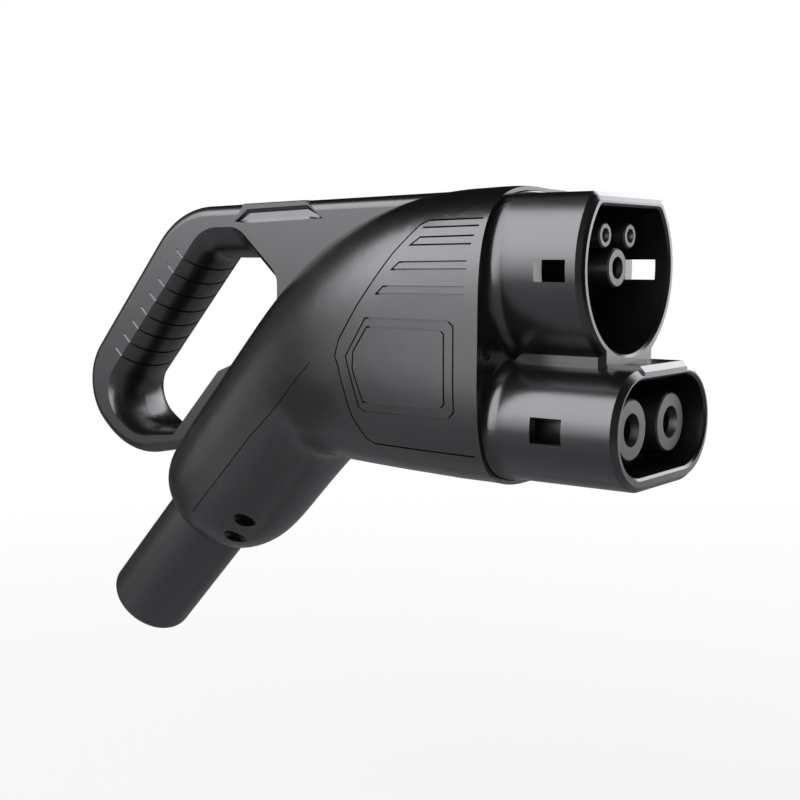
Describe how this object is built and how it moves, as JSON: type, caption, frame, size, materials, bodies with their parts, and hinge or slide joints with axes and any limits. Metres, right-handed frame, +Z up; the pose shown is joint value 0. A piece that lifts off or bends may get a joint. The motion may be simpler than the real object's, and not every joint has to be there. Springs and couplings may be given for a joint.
{
  "type": "electric vehicle charging connector",
  "caption": "Two-lobe vehicle charging connector with an angled grip, a ring handle behind it and a stub sleeve for the cable.",
  "frame": {"origin": "centre of the upper lobe, in the plane of its front rim", "axes": "+X forward out of the nose, +Y to the left, +Z up"},
  "size_m": [0.2603, 0.079, 0.1813],
  "materials": {
    "shell_plastic": "fine moulded satin, near black",
    "nose_plastic": "smooth satin, near black",
    "insert_plastic": "moulded glass-filled plastic, dark",
    "sleeve_plastic": "smooth satin, near black",
    "seal_rubber": "soft matte",
    "contact_metal": "silver-plated, turned",
    "screw_steel": "blackened steel",
    "board_laminate": "solder mask, green",
    "sensor_body": "moulded, grey",
    "resistor_body": "lacquered, tan"
  },
  "bodies": {
    "root": {"nose_shroud": "nose_plastic", "signal_carrier": "insert_plastic", "power_carrier": "insert_plastic", "carrier_gasket": "seal_rubber", "contact_retainer": "insert_plastic", "power_contact_positive": "contact_metal", "power_contact_negative": "contact_metal", "earth_contact": "contact_metal", "pilot_contact": "contact_metal", "proximity_contact": "contact_metal", "power_contact_seals": "seal_rubber", "contact_sensors": "sensor_body", "sensor_board": "board_laminate", "coding_resistor": "resistor_body", "board_screws": "screw_steel", "retainer_screws": "screw_steel", "nose_screws": "screw_steel", "shell_screws": "screw_steel", "clamp_screws": "screw_steel", "cable_clamp_front": "insert_plastic", "cable_clamp_back": "insert_plastic", "cable_sleeve": "sleeve_plastic", "cable_seal": "seal_rubber", "handle_cap": "shell_plastic", "right_shell": "shell_plastic", "left_shell": "shell_plastic"}
  },
  "joints": []
}
